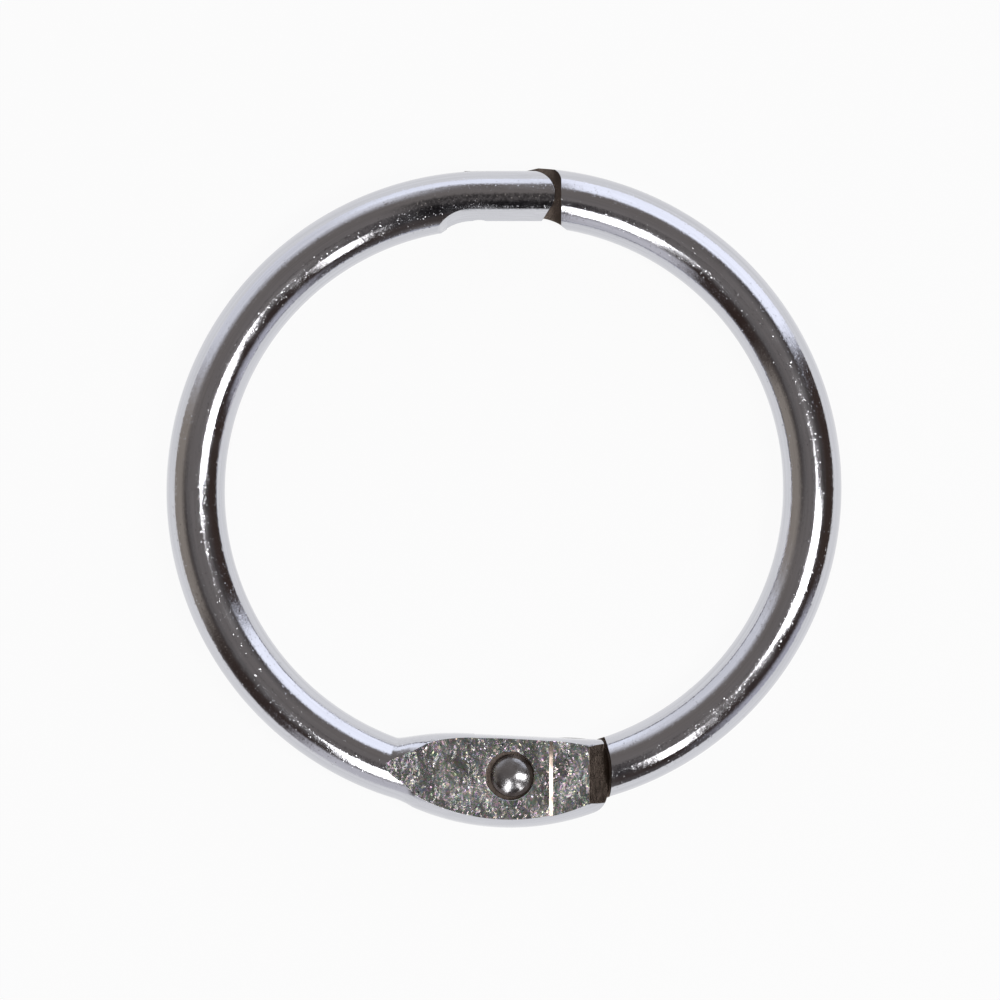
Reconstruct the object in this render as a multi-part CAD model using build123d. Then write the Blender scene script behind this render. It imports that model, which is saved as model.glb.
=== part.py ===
from build123d import *
import os
from collections import namedtuple
from math import cos, pi, radians, sin, sqrt, tan

# A hinged binder ring of bent wire, closed, lying flat. Sizes in millimetres, angles in degrees.
# The origin is under the middle of the ring, on the surface it lies on. +Z is up, towards the front.
# +Y points at the snap and -Y at the hinge. The front half is on the -X side.
# Each half is made as seen from its own front, with its bend's height at Y 0. The rear half is then
# turned over about Y, front to back, so its ear and its tongue lie behind those of the front half.

# Bent wire
wire_diameter = 2.6
bend_radius = 12.95  # centre line of each half's bend
bend_spread = 0.75  # from the ring's middle out to each half's bend centre
front_rise = 0.3  # height of the front half's bend centre above the origin, along Y
rear_rise = 0.44  # the same for the rear half, which sits a little higher

# Hinge ears, pressed flat at the lower end of each half
front_ear_width = 4.18
rear_ear_width = 3.84  # the front ear hides the rear one
front_ear_shift = 0.1  # the ear's middle lies this far inside the wire's centre line
rear_ear_shift = -0.1
front_ear_slope = 0.045  # fall of the ear's inner edge towards its end, for each millimetre
rear_ear_slope = 0
front_neck_start = 20.3  # where the wire starts to widen, as an angle back from the bend's hinge end
rear_neck_start = 17
neck_end = 3  # where the ear has its full inner width
neck_softness = 0.06  # how gently the inner side starts to widen, as a share of the neck
neck_fullness = 2.5  # how soon the inner side nears its full width
outer_side_start = 0.4  # share of the neck over which the outer side takes up its arc
ear_curve = 10.8  # radius of the ear's outer edge, seen from the front
ear_reach = 4.4  # from the rivet's axis to the ear's rounded end
ear_outer_corner = 1.0  # rounding of the ear's end, at its outer edge
ear_inner_corner = 0.3
ear_depth = 0.155  # the ear's pressed face lies this far below the wire's crown
press_runout = 2.0  # length over which the pressed face rises to the wire's crown
inner_squareness = 3.4  # the ear's inner flank: 2 is round, and more is squarer
round_section = 2
flank_swell = 0.6  # the flanks bulge as if the ear's front were this much higher before its face is pressed
mark_from_rivet = 1.9  # from the rivet's axis to the step that the press leaves across the ear
mark_depth = 0.05
mark_run = 0.17  # length of the step's slope
bevel_length = 0.9  # the ear's end slopes down to the rear over this length
bevel_drop = 0.42

# Rivet
rivet_across = 0.27  # the rivet's axis from the ring's middle, along X
rivet_inset = 0.65  # and this far inside the radius of the centre line, measured from the origin
shank_diameter = 1.3
head_diameter = 1.88
head_rim = 0.12  # height of the head's edge below its dome
head_dome = 0.28  # height of the dome
head_offset = 0.09  # the head was peened this far off the shank's axis
head_recess = 0.5  # depth of the counterbore that holds the head
recess_diameter = 2.14
recess_edge = 0.06  # broken edge of the counterbore
tail_diameter = 1.9
tail_depth = 0.3  # countersink that holds the tail at the back

# Snap at the upper end of each half
tip_reach = 2.25  # from the ring's middle to the tongue's tip
shoulder_gap = 0.29  # between a tip and the shoulder that it closes on
nose_radius = 1.05  # rounding of the tip's outer corner
heel_angle = 33.5  # slant of the tip's inner side
curl_radius = 0.62  # rounding of the shoulder's outer corner
tongue_width = 2.27  # the tongues are pressed narrower than the wire, on their inner side
flank_slant = 24  # the pressed inner flank leans this far back from the upright
press_ramp = 1.6  # length over which the inner flank reaches that width
press_ramp_back = 0.45  # it starts this far behind the shoulder
press_lead = 0.15  # and this far outside the wire, so that it meets the wire at an angle
flank_relief = 0.12  # the rear tongue is also pressed on its outer side, so that the front one hides it
relief_start = 0.9  # from the shoulder to where that relief starts
relief_ramp = 0.7
tooth_from_tip = 1.15
tooth_width = 0.6
tooth_height = 0.12
groove_depth = 0.1

# Clearances
hinge_gap = 0.06  # between the two ears
snap_gap = 0.16  # between the two tongues
swing_gap = 0.12  # between an ear's rounded end and the shoulder round it
running_gap = 0.05  # between the shank and the front ear's hole
head_float = 0.03  # under the rivet's head

wire_radius = wire_diameter / 2
mid_height = wire_radius
outer_radius = bend_radius + wire_radius
inner_radius = bend_radius - wire_radius
shoulder_reach = tip_reach + shoulder_gap
round_neck = 2  # degrees of plain round wire that the neck's shape starts with
section_points = 24  # points round each section of the neck and ear
neck_shares = (0.07, 0.16, 0.28, 0.42, 0.58, 0.78, 1)  # where the neck's sections are, along it
ear_shares = (0.2, 0.42, 0.64, 0.83, 1)  # and the ear's
over = wire_diameter  # how far cutting tools run past the wire
rivet_below = bend_radius - rivet_inset

# An ear as seen from its own half's front: where its rivet is, its width and how it lies
Ear = namedtuple("Ear", "rivet_x rivet_y width shift slope neck_start")
front_ear = Ear(
    rivet_x=rivet_across,
    rivet_y=-rivet_below - front_rise,
    width=front_ear_width,
    shift=front_ear_shift,
    slope=front_ear_slope,
    neck_start=front_neck_start,
)
rear_ear = Ear(
    rivet_x=-rivet_across,
    rivet_y=-rivet_below - rear_rise,
    width=rear_ear_width,
    shift=rear_ear_shift,
    slope=rear_ear_slope,
    neck_start=rear_neck_start,
)


def ring_plane_shape(outline, bottom, top):
    """A solid with the given outline in the ring's plane, between two heights."""
    return extrude(Pos(0, 0, bottom) * make_face(outline), amount=top - bottom, dir=(0, 0, 1))


def bend_point(angle):
    """A point on the bend's centre line, at an angle back from its hinge end."""
    return Vector(
        -bend_spread - bend_radius * sin(radians(angle)), -bend_radius * cos(radians(angle)), mid_height
    )


def bend_section_plane(angle):
    """The plane across the wire there, with its x axis towards the ring's inside."""
    inward = Vector(sin(radians(angle)), cos(radians(angle)), 0)
    along = Vector(cos(radians(angle)), -sin(radians(angle)), 0)
    return Plane(origin=bend_point(angle), x_dir=inward, z_dir=along)


def outer_growth(ear, outer):
    """How far the outer side has grown from the round wire, as a share of what it grows by the rivet."""
    return (outer - wire_radius) / (ear.width / 2 - ear.shift - wire_radius)


def pressed_section(ear, plane, inner, outer, inner_power):
    """A section of the pressed wire: its reach to each side, and how square its inner side is."""
    swollen = wire_radius + flank_swell * outer_growth(ear, outer)
    points = []
    for step in range(section_points):
        turn = 2 * pi * step / section_points
        side, power = (inner, inner_power) if cos(turn) > 0 else (outer, round_section)
        height = swollen if sin(turn) > 0 else wire_radius
        reach = (abs(cos(turn)) ** power + abs(sin(turn)) ** power) ** (-1 / power)
        point = Vector(side * reach * cos(turn), height * reach * sin(turn))
        points.append(plane.from_local_coords(point))
    places = [step / section_points for step in range(section_points + 1)]
    return make_face(Edge.make_spline(points, periodic=True, parameters=places))


def round_wire(ear):
    """The wire with its round section, from the snap tip round to the neck of the ear."""
    tip = (tip_reach + over, bend_radius, mid_height)
    crest = (-bend_spread, bend_radius, mid_height)
    straight = Edge.make_line(tip, crest)
    bend = ThreePointArc(crest, bend_point(90), bend_point(ear.neck_start + round_neck))
    end = sweep(Plane(origin=tip, z_dir=(-1, 0, 0)) * Circle(wire_radius), path=straight)
    arc = sweep(Plane(origin=crest, z_dir=(-1, 0, 0)) * Circle(wire_radius), path=bend)
    return end + arc


def edge_circle_centre(ear):
    """The centre of the arc that the ear's outer edge follows."""
    lowest = bend_radius + ear.width / 2 - ear.shift
    return Vector(ear.rivet_x, ear_curve - lowest)


def neck_sections(ear):
    """The wire's sections as it widens round the bend. The inner side grows first, and the outer side
    takes up the arc of the ear's outer edge once that arc leaves the wire."""
    full_inner = ear.width / 2 + ear.shift
    to_arc_centre = edge_circle_centre(ear) - Vector(-bend_spread, 0)
    sections = []
    for share in neck_shares:
        angle = ear.neck_start + (neck_end - ear.neck_start) * share
        inner_growth = 1 - (1 - share**2 / (share + neck_softness)) ** neck_fullness
        inner = wire_radius + (full_inner - wire_radius) * inner_growth
        along = to_arc_centre.dot(Vector(-sin(radians(angle)), -cos(radians(angle))))
        to_edge = along + sqrt(ear_curve**2 - to_arc_centre.length**2 + along**2)
        outer = wire_radius + max(0, to_edge - outer_radius) * min(1, share / outer_side_start) ** 2
        inner_power = round_section + (inner_squareness - round_section) * inner_growth
        sections.append(pressed_section(ear, bend_section_plane(angle), inner, outer, inner_power))
    return sections


def ear_blank(ear):
    """The wire widening into the flat ear, before its faces are cut."""
    round_angles = (ear.neck_start + round_neck, ear.neck_start + round_neck / 2, ear.neck_start)
    sections = [bend_section_plane(angle) * Circle(wire_radius) for angle in round_angles]
    sections += neck_sections(ear)
    edge_centre = edge_circle_centre(ear)
    start = bend_point(neck_end).X
    end = ear.rivet_x + ear_reach + wire_radius / 2
    for share in ear_shares:
        across = start + (end - start) * share
        inner = ear.width / 2 + ear.shift - ear.slope * (across - start)
        lowest = edge_centre.Y - sqrt(ear_curve**2 - (across - edge_centre.X) ** 2)
        plane = Plane(origin=(across, -bend_radius, mid_height), x_dir=(0, 1, 0), z_dir=(1, 0, 0))
        outer = -bend_radius - lowest
        sections.append(pressed_section(ear, plane, inner, outer, inner_squareness))
    return loft(sections)


def press_cut(ear):
    """What the press takes off the ear's front: a flat face with a run-out, a step and an end bevel."""
    crown = wire_diameter
    face = crown - ear_depth
    runout_start = bend_point(ear.neck_start).X
    flat_start = runout_start + press_runout
    runout_radius = (press_runout**2 + ear_depth**2) / (2 * ear_depth)
    halfway = press_runout / 2
    sag = runout_radius - sqrt(runout_radius**2 - halfway**2)
    runout = ThreePointArc(
        (runout_start, 0, crown), (flat_start - halfway, 0, face + sag), (flat_start, 0, face)
    )
    mark = ear.rivet_x + mark_from_rivet
    bevel_end = ear.rivet_x + ear_reach
    bevel_start = bevel_end - bevel_length
    beyond = bevel_end + over
    low = face - mark_depth
    rest = Polyline(
        (flat_start, 0, face),
        (mark - mark_run, 0, face),
        (mark, 0, low),
        (bevel_start, 0, low),
        (beyond, 0, low - bevel_drop / bevel_length * (beyond - bevel_start)),
        (beyond, 0, crown + over),
        (runout_start, 0, crown + over),
        (runout_start, 0, crown),
    )
    profile = make_face(Curve() + [runout, rest])
    return extrude(profile, amount=bend_radius + ear.width, dir=(0, -1, 0))


def tongue_cuts():
    """What the press takes off the snap end, seen from the front: the leaning inner flank and the nose."""
    flank = outer_radius - tongue_width
    ramp_start = -shoulder_reach - press_ramp_back
    ramp_low = sqrt(inner_radius**2 - (ramp_start + bend_spread) ** 2) - press_lead
    depth = flank - ramp_low
    ramp_end = ramp_start + press_ramp
    ramp_radius = (press_ramp**2 + depth**2) / (2 * depth)
    halfway = press_ramp / 2
    sag = ramp_radius - sqrt(ramp_radius**2 - halfway**2)
    far = tip_reach + 2 * over
    ramp = ThreePointArc((ramp_start, ramp_low), (ramp_end - halfway, flank - sag), (ramp_end, flank))
    under = Polyline(
        (ramp_end, flank),
        (far, flank),
        (far, inner_radius - over),
        (ramp_start, inner_radius - over),
        (ramp_start, ramp_low),
    )
    outline = make_face(Curve() + [ramp, under])
    lean = Vector(0, tan(radians(flank_slant)), 1)
    inner_cut = extrude(outline, amount=mid_height)
    inner_cut += extrude(Pos(0, 0, mid_height) * outline, amount=2 * wire_radius * lean.length, dir=lean)
    nose_x = tip_reach - nose_radius
    nose_y = outer_radius - nose_radius
    low_x = nose_x + nose_radius * cos(radians(heel_angle))
    low_y = nose_y - nose_radius * sin(radians(heel_angle))
    heel_fall = low_y - (inner_radius - over)
    nose = ThreePointArc((nose_x, outer_radius), (tip_reach, nose_y), (low_x, low_y))
    beyond = Polyline(
        (low_x, low_y),
        (low_x - heel_fall * tan(radians(heel_angle)), inner_radius - over),
        (far, inner_radius - over),
        (far, outer_radius + over),
        (nose_x, outer_radius + over),
        (nose_x, outer_radius),
    )
    nose_cut = ring_plane_shape(Curve() + [nose, beyond], -over, wire_diameter + over)
    return inner_cut + nose_cut


def shoulder_cut():
    """The room behind the tongue for the other half's tongue, with the shoulder that it closes on."""
    far = tip_reach + 2 * over
    low = inner_radius - over
    high = outer_radius + over
    corner_y = outer_radius - curl_radius
    corner_x = -shoulder_reach + curl_radius
    turn = curl_radius * (1 - cos(radians(45)))
    curl = ThreePointArc(
        (-shoulder_reach, corner_y), (-shoulder_reach + turn, outer_radius - turn), (corner_x, outer_radius)
    )
    rest = Polyline(
        (corner_x, outer_radius),
        (corner_x, high),
        (far, high),
        (far, low),
        (-shoulder_reach, low),
        (-shoulder_reach, corner_y),
    )
    return ring_plane_shape(Curve() + [curl, rest], -over, mid_height + snap_gap / 2)


def bar_radius(height):
    """The radius of a round bar that stands so high out of a face and is as wide there as the tooth."""
    return (tooth_width**2 / 4 + height**2) / (2 * height)


def cross_bar(across, height, radius, length):
    """A round bar across the tongue."""
    centre = Pos(across, outer_radius - tongue_width / 2, height)
    return centre * Rot(90, 0, 0) * Cylinder(radius, length)


def tooth():
    """The tooth under the tongue's tip, which the wire's spring presses into the other half's groove."""
    radius = bar_radius(tooth_height)
    face = mid_height + snap_gap / 2
    across = tip_reach - tooth_from_tip
    bar = cross_bar(across, face - tooth_height + radius, radius, tongue_width - 2 * flank_relief)
    return bar & Pos(across, outer_radius, face - tooth_height / 2) * Box(over, 4 * over, 2 * tooth_height)


def groove():
    """The groove for the other half's tooth, near the tongue's root."""
    radius = bar_radius(groove_depth)
    face = mid_height + snap_gap / 2
    return cross_bar(tooth_from_tip - tip_reach, face + groove_depth - radius, radius, 2 * over)


def at_rivet(ear, height):
    return Pos(ear.rivet_x, ear.rivet_y, height)


def end_corners(outline, ear):
    """The corners of the ear's rounded end, the outer one first."""
    corners = outline.vertices().filter_by(lambda corner: corner.X > ear.rivet_x + ear_reach / 2)
    return corners.sort_by(Axis.Y)


def ear_end_cut(ear):
    """What lies beyond the ear's rounded end, which is a circle about the rivet with rounded corners."""
    end = Pos(ear.rivet_x, ear.rivet_y) * Circle(ear_reach)
    side = Pos(*edge_circle_centre(ear)) * Circle(ear_curve)
    inner_edge = ear.width / 2 + ear.shift - bend_radius - ear.slope * (ear.rivet_x + ear_reach)
    strip = Pos(ear.rivet_x, inner_edge) * Rectangle(2 * ear_reach, 2 * ear_reach, align=(Align.MIN, Align.MAX))
    kept = end & side & strip
    kept = fillet(end_corners(kept, ear)[0], ear_outer_corner)
    kept = fillet(end_corners(kept, ear)[-1], ear_inner_corner)
    block = Pos(ear.rivet_x + ear_reach / 2, ear.rivet_y) * Rectangle(
        ear_reach + over, 4 * ear_reach, align=(Align.MIN, Align.CENTER)
    )
    waste = block - kept
    return extrude(Pos(0, 0, -over) * waste, amount=wire_diameter + 2 * over)


def hinge_room(ear):
    """The room behind the ear for the other half's ear, round the rivet."""
    top = mid_height + hinge_gap / 2
    height = top + over
    return at_rivet(ear, top - height / 2) * Cylinder(ear_reach + swing_gap, height)


def half_ring(ear):
    """One half, seen from its own front, before the holes for the rivet."""
    half = round_wire(ear) + ear_blank(ear)
    half -= press_cut(ear)
    half -= ear_end_cut(ear)
    half -= hinge_room(ear)
    half -= tongue_cuts()
    half -= shoulder_cut()
    half -= groove()
    half += tooth()
    return half


def front_half_ring():
    """The front half, with the recessed hole that turns on the rivet."""
    ear = front_ear
    half = half_ring(ear)
    recess_floor = wire_diameter - ear_depth - head_recess
    half -= at_rivet(ear, mid_height) * Cylinder(shank_diameter / 2 + running_gap, 2 * wire_diameter)
    half -= at_rivet(ear, recess_floor + over / 2) * Cylinder(recess_diameter / 2, over)
    lip = [
        edge
        for edge in half.edges().filter_by(GeomType.CIRCLE)
        if abs(edge.radius - recess_diameter / 2) < 1e-6 and edge.center().Z > recess_floor + head_recess / 2
    ]
    return Pos(0, front_rise, 0) * chamfer(lip, recess_edge)


def tail_shape():
    """The rivet's tail, spread in the rear ear's countersink, in the finished ring's place."""
    centre = Pos(rivet_across, -rivet_below, ear_depth + tail_depth / 2)
    return centre * Cone(tail_diameter / 2, shank_diameter / 2, tail_depth)


def outer_relief():
    """What the press takes off the rear tongue's outer flank."""
    far = tip_reach + 2 * over
    flank = outer_radius - flank_relief
    ramp_start = relief_start - shoulder_reach
    outline = Polyline(
        (ramp_start, outer_radius),
        (ramp_start + relief_ramp, flank),
        (far, flank),
        (far, outer_radius + over),
        (ramp_start, outer_radius + over),
        (ramp_start, outer_radius),
    )
    return ring_plane_shape(outline, -over, wire_diameter + over)


def rear_half_ring():
    """The rear half, turned over, with the hole and the countersink that hold the rivet."""
    half = half_ring(rear_ear) - outer_relief()
    half = Pos(0, rear_rise, wire_diameter) * Rot(0, 180, 0) * half
    half -= Pos(rivet_across, -rivet_below, mid_height) * Cylinder(shank_diameter / 2, 2 * wire_diameter)
    return half - tail_shape()


def hinge_rivet():
    """The rivet: a domed head in the front ear's recess, a shank, and a tail spread in the rear ear."""
    shank_low = ear_depth + tail_depth
    head_low = wire_diameter - ear_depth - head_recess + head_float
    head_high = head_low + head_rim
    radius = head_diameter / 2
    ball = (radius**2 + head_dome**2) / (2 * head_dome)
    axis = Pos(rivet_across, -rivet_below, 0)
    shank = axis * Pos(0, 0, (shank_low + head_low) / 2) * Cylinder(shank_diameter / 2, head_low - shank_low)
    head = axis * Pos(head_offset, 0, 0)
    rim = head * Pos(0, 0, head_low + head_rim / 2) * Cylinder(radius, head_rim)
    dome = head * Pos(0, 0, head_high + head_dome - ball) * Sphere(ball)
    dome = dome & head * Pos(0, 0, head_high + head_dome / 2) * Cylinder(2 * radius, head_dome)
    return shank + tail_shape() + rim + dome


def main():
    os.makedirs("parts", exist_ok=True)
    pieces = {
        "front_half_ring": front_half_ring(),
        "rear_half_ring": rear_half_ring(),
        "hinge_rivet": hinge_rivet(),
    }
    for name, piece in pieces.items():
        export_step(piece, f"parts/{name}.step")


main()
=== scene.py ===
from math import asin, atan2, ceil, cos, pi, radians, sin, sqrt, tan

import bmesh
import bpy
from mathutils import Matrix, Vector


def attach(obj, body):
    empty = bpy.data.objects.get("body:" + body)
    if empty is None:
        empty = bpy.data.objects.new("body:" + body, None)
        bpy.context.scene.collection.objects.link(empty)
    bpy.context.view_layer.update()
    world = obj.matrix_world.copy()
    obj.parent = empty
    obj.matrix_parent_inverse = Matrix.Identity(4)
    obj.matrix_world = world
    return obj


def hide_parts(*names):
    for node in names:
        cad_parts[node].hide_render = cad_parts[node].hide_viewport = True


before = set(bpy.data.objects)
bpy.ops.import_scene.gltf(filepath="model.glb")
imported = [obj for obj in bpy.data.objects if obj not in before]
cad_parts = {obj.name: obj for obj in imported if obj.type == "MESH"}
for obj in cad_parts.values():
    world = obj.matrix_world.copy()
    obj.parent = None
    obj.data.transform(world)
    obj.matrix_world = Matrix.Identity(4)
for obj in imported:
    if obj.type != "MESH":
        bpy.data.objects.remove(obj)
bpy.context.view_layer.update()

print("binder ring: frame loaded")

mm = 0.001
scene = bpy.context.scene


# lengths are in millimetres and angles in degrees; each half is made with its bend to the left and its outer face up
wire = {
    "diameter": 2.6,
    "bend": 12.95,  # centre line radius
    "spread": 0.75,  # from the bend's centre to the ring's middle
    "sides": 96,  # points round the section
    "bendStep": 0.9,  # between sections on the plain bend
    "neckSections": 70,
    "earStep": 0.12,
    "straightStep": 0.25,
    "spare": 0.8,  # wire past the tip, which the nose cuts off
}

ears = {
    "front": {"rivetX": 0.27, "rivetY": -12.6, "width": 4.18, "shift": 0.1, "slope": 0.045, "neckStart": 20.3},
    "rear": {"rivetX": -0.27, "rivetY": -12.74, "width": 3.84, "shift": -0.1, "slope": 0.0, "neckStart": 17.0},
    "neckEnd": 3.0,
    "neckSoftness": 0.06,
    "neckFullness": 2.5,
    "outerSideStart": 0.4,  # share of the neck
    "curve": 10.8,  # radius of the outer edge
    "reach": 4.4,  # from the rivet to the rounded end
    "outerCorner": 1.0,
    "innerCorner": 0.3,
    "innerSquareness": 3.4,
    "flankSwell": 0.6,
    "pressDepth": 0.155,
    "runout": 2.0,
    "markFromRivet": 1.9,
    "markDepth": 0.05,
    "markRun": 0.17,
    "bevelLength": 0.9,
    "bevelDrop": 0.42,
    "gap": 0.06,  # between the two ears
    "swingGap": 0.12,  # round the other ear's end
}

snap = {
    "tipReach": 2.25,
    "shoulderReach": 2.54,
    "noseRadius": 1.05,
    "heelAngle": 33.5,
    "curlRadius": 0.62,
    "tongueWidth": 2.27,
    "flankSlant": 24.0,
    "ramp": 1.6,
    "rampBack": 0.45,
    "rampLead": 0.15,
    "relief": 0.15,  # taken off the rear tongue's outer side
    "reliefStart": 0.9,
    "reliefRamp": 0.7,
    "toothFromTip": 1.15,
    "toothWidth": 0.6,
    "toothHeight": 0.12,
    "grooveDepth": 0.1,
    "barSides": 160,
    "gap": 0.16,  # between the two tongues
}

rise = {"front": 0.3, "rear": 0.44}  # of each bend's centre along Y
half = wire["diameter"] / 2
over = wire["diameter"]  # how far the cutters reach past the wire
outerRadius = wire["bend"] + half
innerRadius = wire["bend"] - half


def bendPoint(angle):
    a = radians(angle)
    return Vector((-wire["spread"] - wire["bend"] * sin(a), -wire["bend"] * cos(a), half))


def sectionPoints(centre, inward, inner, outer, innerPower=2, swell=0):
    # one ring of points across the wire, squarer inside and fuller above where the press spread it
    points = []
    for k in range(wire["sides"]):
        turn = 2 * pi * (k + 0.5) / wire["sides"]
        side, power = (inner, innerPower) if cos(turn) > 0 else (outer, 2)
        height = half + swell if sin(turn) > 0 else half
        reach = (abs(cos(turn)) ** power + abs(sin(turn)) ** power) ** (-1 / power)
        points.append(centre + inward * (side * reach * cos(turn)) + Vector((0, 0, height * reach * sin(turn))))
    return points


def edgeCentre(ear):
    return Vector((ear["rivetX"], ears["curve"] - wire["bend"] - ear["width"] / 2 + ear["shift"], 0))


def wireSections(ear):
    rings = []
    tipEnd = snap["tipReach"] + wire["spare"]
    count = ceil((tipEnd + wire["spread"]) / wire["straightStep"])
    for k in range(count):
        x = tipEnd - (tipEnd + wire["spread"]) * k / count
        rings.append(sectionPoints(Vector((x, wire["bend"], half)), Vector((0, -1, 0)), half, half))
    count = ceil((180 - ear["neckStart"]) / wire["bendStep"])
    for k in range(count):
        angle = 180 - (180 - ear["neckStart"]) * k / count
        inward = Vector((sin(radians(angle)), cos(radians(angle)), 0))
        rings.append(sectionPoints(bendPoint(angle), inward, half, half))
    # the neck: the inner side grows first, then the outer side takes up the ear's arc
    fullInner = ear["width"] / 2 + ear["shift"]
    fullOuter = ear["width"] / 2 - ear["shift"]
    toCentre = edgeCentre(ear) - Vector((-wire["spread"], 0, 0))
    for k in range(wire["neckSections"] + 1):
        share = k / wire["neckSections"]
        angle = ear["neckStart"] + (ears["neckEnd"] - ear["neckStart"]) * share
        inward = Vector((sin(radians(angle)), cos(radians(angle)), 0))
        growth = 1 - (1 - share ** 2 / (share + ears["neckSoftness"])) ** ears["neckFullness"]
        inner = half + (fullInner - half) * growth
        along = toCentre.dot(-inward)
        toEdge = along + sqrt(ears["curve"] ** 2 - toCentre.length_squared + along ** 2)
        outer = half + max(0, toEdge - outerRadius) * min(1, share / ears["outerSideStart"]) ** 2
        innerPower = 2 + (ears["innerSquareness"] - 2) * growth
        swell = ears["flankSwell"] * (outer - half) / (fullOuter - half)
        rings.append(sectionPoints(bendPoint(angle), inward, inner, outer, innerPower, swell))
    # the ear, straight across
    start = bendPoint(ears["neckEnd"]).x
    end = ear["rivetX"] + ears["reach"] + half / 2
    count = ceil((end - start) / wire["earStep"])
    for k in range(1, count + 1):
        x = start + (end - start) * k / count
        inner = ear["width"] / 2 + ear["shift"] - ear["slope"] * (x - start)
        lowest = edgeCentre(ear).y - sqrt(ears["curve"] ** 2 - (x - edgeCentre(ear).x) ** 2)
        outer = -wire["bend"] - lowest
        swell = ears["flankSwell"] * (outer - half) / (fullOuter - half)
        middle = Vector((x, -wire["bend"], half))
        rings.append(sectionPoints(middle, Vector((0, 1, 0)), inner, outer, ears["innerSquareness"], swell))
    return rings


def meshObject(name, bm, slots):
    bmesh.ops.recalc_face_normals(bm, faces=bm.faces)
    for face in bm.faces:
        face.smooth = True
    mesh = bpy.data.meshes.new(name)
    bm.to_mesh(mesh)
    bm.free()
    for material in slots:
        mesh.materials.append(material)
    obj = bpy.data.objects.new(name, mesh)
    scene.collection.objects.link(obj)
    return obj


def tube(name, rings, slots):
    bm = bmesh.new()
    rows = [[bm.verts.new(p) for p in ring] for ring in rings]
    for a, b in zip(rows, rows[1:]):
        for k in range(len(a)):
            n = (k + 1) % len(a)
            bm.faces.new((a[k], a[n], b[n], b[k]))
    bm.faces.new(rows[0])
    bm.faces.new(rows[-1])
    return meshObject(name, bm, slots)


def prism(name, outline, low, high, finish, slots, upright=False, lean=0):
    # an outline in the ring's plane between two heights, or, upright, an X-Z profile between two Y values
    # the finish is one for all, or one for each side of the outline; a lean moves what is above mid height along Y
    bm = bmesh.new()
    place = (lambda a, b, c: Vector((a, c, b))) if upright else (lambda a, b, c: Vector((a, b, c)))
    levels = [(low, 0), (half, 0), (high, lean * (high - half))] if lean else [(low, 0), (high, 0)]
    rows = [[bm.verts.new(place(a, b + shift, level)) for a, b in outline] for level, shift in levels]
    finishes = [finish] * len(outline) if isinstance(finish, int) else finish
    for bottom, top in zip(rows, rows[1:]):
        for k in range(len(outline)):
            n = (k + 1) % len(outline)
            side = bm.faces.new((bottom[k], bottom[n], top[n], top[k]))
            side.material_index = finishes[k]
    for row in (rows[0], rows[-1]):
        bm.faces.new(row).material_index = finishes[0]
    return meshObject(name, bm, slots)


def turned(name, profile, centre, finish, slots, sides=128):
    # a profile of (radius, height) points turned about a vertical axis, closed at both ends
    bm = bmesh.new()
    rows = []
    for radius, height in profile:
        if radius < 1e-6:
            rows.append([bm.verts.new((centre[0], centre[1], height))])
        else:
            turns = [2 * pi * k / sides for k in range(sides)]
            rows.append([
                bm.verts.new((centre[0] + radius * cos(turn), centre[1] + radius * sin(turn), height))
                for turn in turns])
    finishes = [finish] * len(profile) if isinstance(finish, int) else finish
    for a, b, side in zip(rows, rows[1:], finishes):
        for k in range(sides):
            n = (k + 1) % sides
            if len(a) == 1:
                face = bm.faces.new((a[0], b[n], b[k]))
            elif len(b) == 1:
                face = bm.faces.new((a[k], a[n], b[0]))
            else:
                face = bm.faces.new((a[k], a[n], b[n], b[k]))
            face.material_index = side
    return meshObject(name, bm, slots)


def combine(obj, tool, operation="DIFFERENCE"):
    modifier = obj.modifiers.new("cut", "BOOLEAN")
    modifier.operation = operation
    modifier.solver = "MANIFOLD"
    modifier.object = tool
    graph = bpy.context.evaluated_depsgraph_get()
    result = bpy.data.meshes.new_from_object(obj.evaluated_get(graph))
    obj.modifiers.clear()
    old = obj.data
    obj.data = result
    bpy.data.meshes.remove(old)
    bpy.data.objects.remove(tool)


def arc(centre, radius, start, end, count=16):
    return [
        (centre[0] + radius * cos(radians(start + (end - start) * k / count)),
         centre[1] + radius * sin(radians(start + (end - start) * k / count)))
        for k in range(count + 1)]


def concaveRamp(x0, y0, length, depth, count=20):
    # from (x0, y0), leaving the wire and ending level after the given length and depth
    radius = (length ** 2 + depth ** 2) / (2 * depth)
    points = []
    for k in range(count + 1):
        x = length * k / count
        points.append((x0 + x, y0 + depth - (radius - sqrt(radius ** 2 - (length - x) ** 2))))
    return points


def pressProfile(ear):
    crown = wire["diameter"]
    start = bendPoint(ear["neckStart"]).x
    face = crown - ears["pressDepth"]
    runout = [(x, 2 * crown - z) for x, z in concaveRamp(start, crown, ears["runout"], ears["pressDepth"], 28)]
    mark = ear["rivetX"] + ears["markFromRivet"]
    bevelStart = ear["rivetX"] + ears["reach"] - ears["bevelLength"]
    beyond = ear["rivetX"] + ears["reach"] + over
    low = face - ears["markDepth"]
    slope = ears["bevelDrop"] / ears["bevelLength"]
    outline = runout + [
        (mark - ears["markRun"], face), (mark, low), (bevelStart, low),
        (beyond, low - slope * (beyond - bevelStart)), (beyond, crown + over), (start, crown + over)]
    return outline, [1] * len(runout) + [3, 1, 3, 1, 1, 1]


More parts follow.
